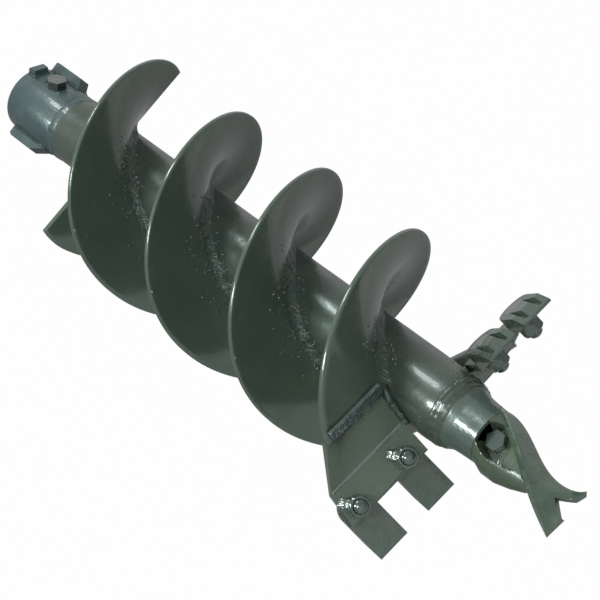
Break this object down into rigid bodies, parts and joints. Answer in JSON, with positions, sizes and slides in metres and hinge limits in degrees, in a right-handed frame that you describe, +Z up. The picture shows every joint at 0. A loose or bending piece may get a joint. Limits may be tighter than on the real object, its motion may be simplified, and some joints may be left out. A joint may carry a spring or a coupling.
{
  "type": "earth auger bit",
  "caption": "Double-flight earth auger bit with hex drive hub, bolted chisel teeth on bent holder plates and a forked pilot point.",
  "frame": {"origin": "centre of the drive hub's open mouth", "axes": "+Z up along the auger's axis, out of the hub; +X along the drive bolt, towards its head; the pilot point hangs down -Z"},
  "size_m": [0.2286, 0.2303, 0.82],
  "materials": {
    "enamel": "gloss",
    "tooth_enamel": "gloss",
    "fastener_enamel": "gloss"
  },
  "bodies": {
    "auger": {"drive_hub": "enamel", "core_tube": "enamel", "hub_weld": "enamel", "nose_weld": "enamel", "guard_bars": "enamel", "guard_lugs": "enamel", "flight_a_upper": "enamel", "flight_a_middle": "enamel", "flight_a_lower": "enamel", "flight_b_upper": "enamel", "flight_b_lower": "enamel", "tooth_holder_a": "enamel", "tooth_holder_b": "enamel", "tooth_a_inner": "tooth_enamel", "tooth_a_outer": "tooth_enamel", "tooth_b_inner": "tooth_enamel", "tooth_b_outer": "tooth_enamel", "tooth_bolts": "fastener_enamel", "tooth_nuts": "fastener_enamel", "nose_cone": "enamel", "pilot_socket": "enamel", "pilot_blade": "tooth_enamel", "pilot_bolt": "fastener_enamel", "pilot_nut": "fastener_enamel"},
    "drive_bolt": {"drive_bolt": "fastener_enamel"},
    "drive_nut": {"drive_nut": "fastener_enamel"}
  },
  "joints": [
    {"name": "drive_bolt_withdraw", "type": "slide", "parent": "auger", "child": "drive_bolt", "axis": [1, 0, 0], "range_m": [0, 0.11]},
    {"name": "drive_nut_removal", "type": "slide", "parent": "auger", "child": "drive_nut", "axis": [-1, 0, 0], "range_m": [0, 0.03]}
  ]
}
